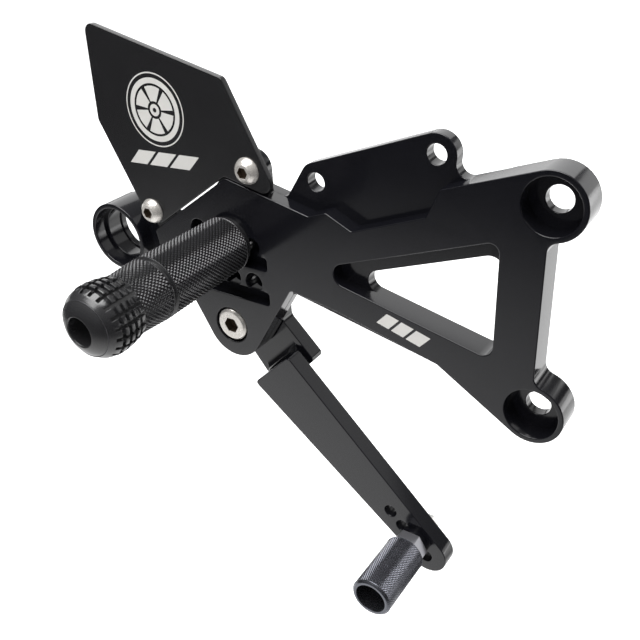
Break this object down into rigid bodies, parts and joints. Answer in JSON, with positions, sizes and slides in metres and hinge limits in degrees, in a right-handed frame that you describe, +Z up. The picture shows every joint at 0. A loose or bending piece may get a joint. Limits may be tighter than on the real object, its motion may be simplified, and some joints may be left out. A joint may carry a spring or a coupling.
{
  "type": "motorcycle rear set footrest",
  "caption": "Rear set for a motorcycle's right side: milled side plate with heel guard, knurled foot peg and pivoting brake lever with a toe peg.",
  "frame": {"origin": "on the back face of the side plate, midway between the two frame bolts", "axes": "+X forward, +Y towards the motorcycle's frame along the bolts, +Z up along the line of the two frame bolts"},
  "size_m": [0.2138, 0.1073, 0.208],
  "materials": {
    "anodised_black": "black anodised, satin sheen",
    "anodised_black_sheet": "black anodised sheet, satin",
    "anodised_black_knurled": "black anodised over a knurl",
    "anodised_grey": "dark grey anodised over a fine knurl",
    "stainless": "bright turned stainless steel",
    "steel": "zinc plated",
    "steel_dark": "dull turned steel",
    "bronze": "plain bearing bronze"
  },
  "bodies": {
    "plate": {"side_plate": "anodised_black", "heel_guard": "anodised_black_sheet", "heel_guard_screws": "stainless", "peg_base": "anodised_black_knurled", "peg_stud": "steel", "foot_peg": "anodised_black_knurled", "peg_screw": "steel", "peg_washer": "steel", "pivot_bolt": "stainless", "pivot_washer": "steel", "pivot_nut": "steel"},
    "lever": {"brake_lever": "anodised_black", "front_bush": "bronze", "rear_bush": "bronze", "toe_peg": "anodised_grey", "toe_spacer": "steel_dark", "toe_collar": "anodised_black", "toe_screw": "steel", "toe_washer": "steel", "toe_nut": "steel"}
  },
  "joints": [
    {"name": "brake_lever_pivot", "type": "hinge", "parent": "plate", "child": "lever", "pos_m": [-0.128, 0, -0.0394], "axis": [0, 1, 0], "range_deg": [0, 12]}
  ]
}
